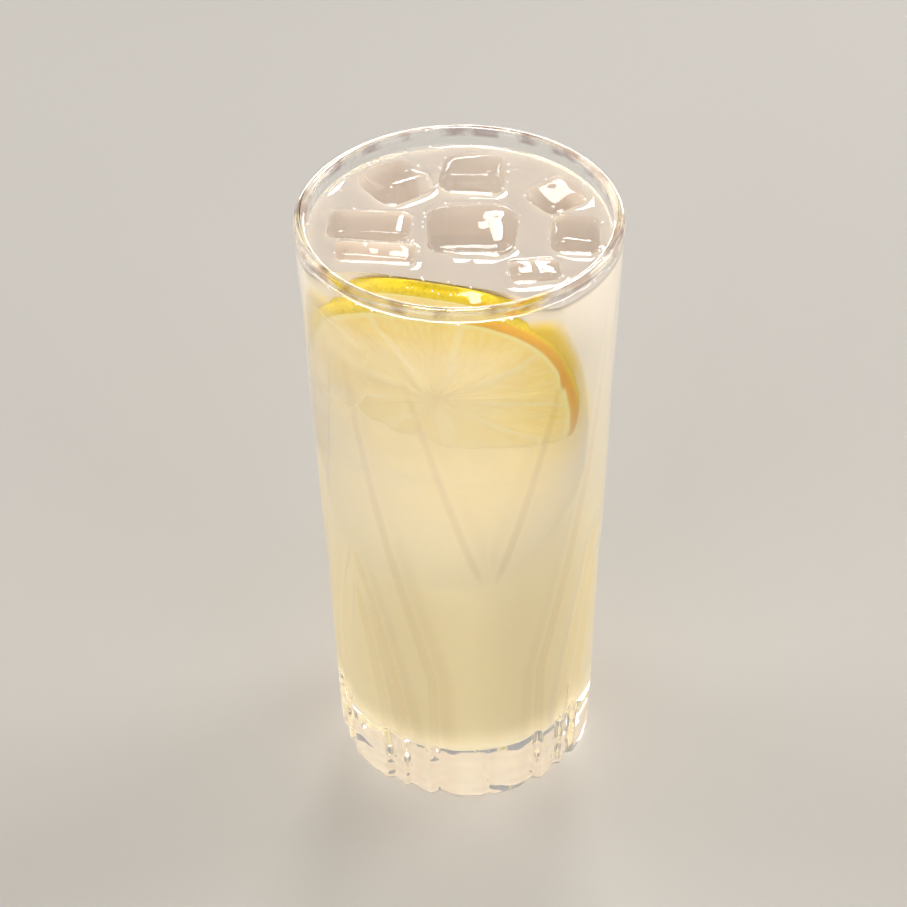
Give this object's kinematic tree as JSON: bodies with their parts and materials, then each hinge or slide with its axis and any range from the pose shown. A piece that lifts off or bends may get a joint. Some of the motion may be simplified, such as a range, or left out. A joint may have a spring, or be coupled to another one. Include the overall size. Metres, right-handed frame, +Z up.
{
  "type": "glass of lemonade",
  "caption": "Tall cut highball glass filled with cloudy lemonade, a large lemon slice near the wall and clear ice at the surface.",
  "frame": {"origin": "centre of the foot, on the surface that the glass stands on", "axes": "+Z up, along the glass; -Y towards the side where the lemon slice lies against the wall"},
  "size_m": [0.0738, 0.0738, 0.1545],
  "materials": {
    "clear_glass": "clear pressed glass with curved cuts",
    "lemonade": "cloudy pale yellow drink, smooth and wet",
    "lemon": "yellow rind, white pith and pale wet pulp",
    "clear_ice": "clear wet ice, a few bubbles"
  },
  "bodies": {
    "root": {"glass": "clear_glass", "drink": "lemonade", "lemon_slice": "lemon", "ice_centre": "clear_ice", "ice_back_left": "clear_ice", "ice_back": "clear_ice", "ice_back_right": "clear_ice", "ice_right": "clear_ice", "ice_front_right": "clear_ice", "ice_left": "clear_ice", "ice_front_left": "clear_ice"}
  },
  "joints": []
}
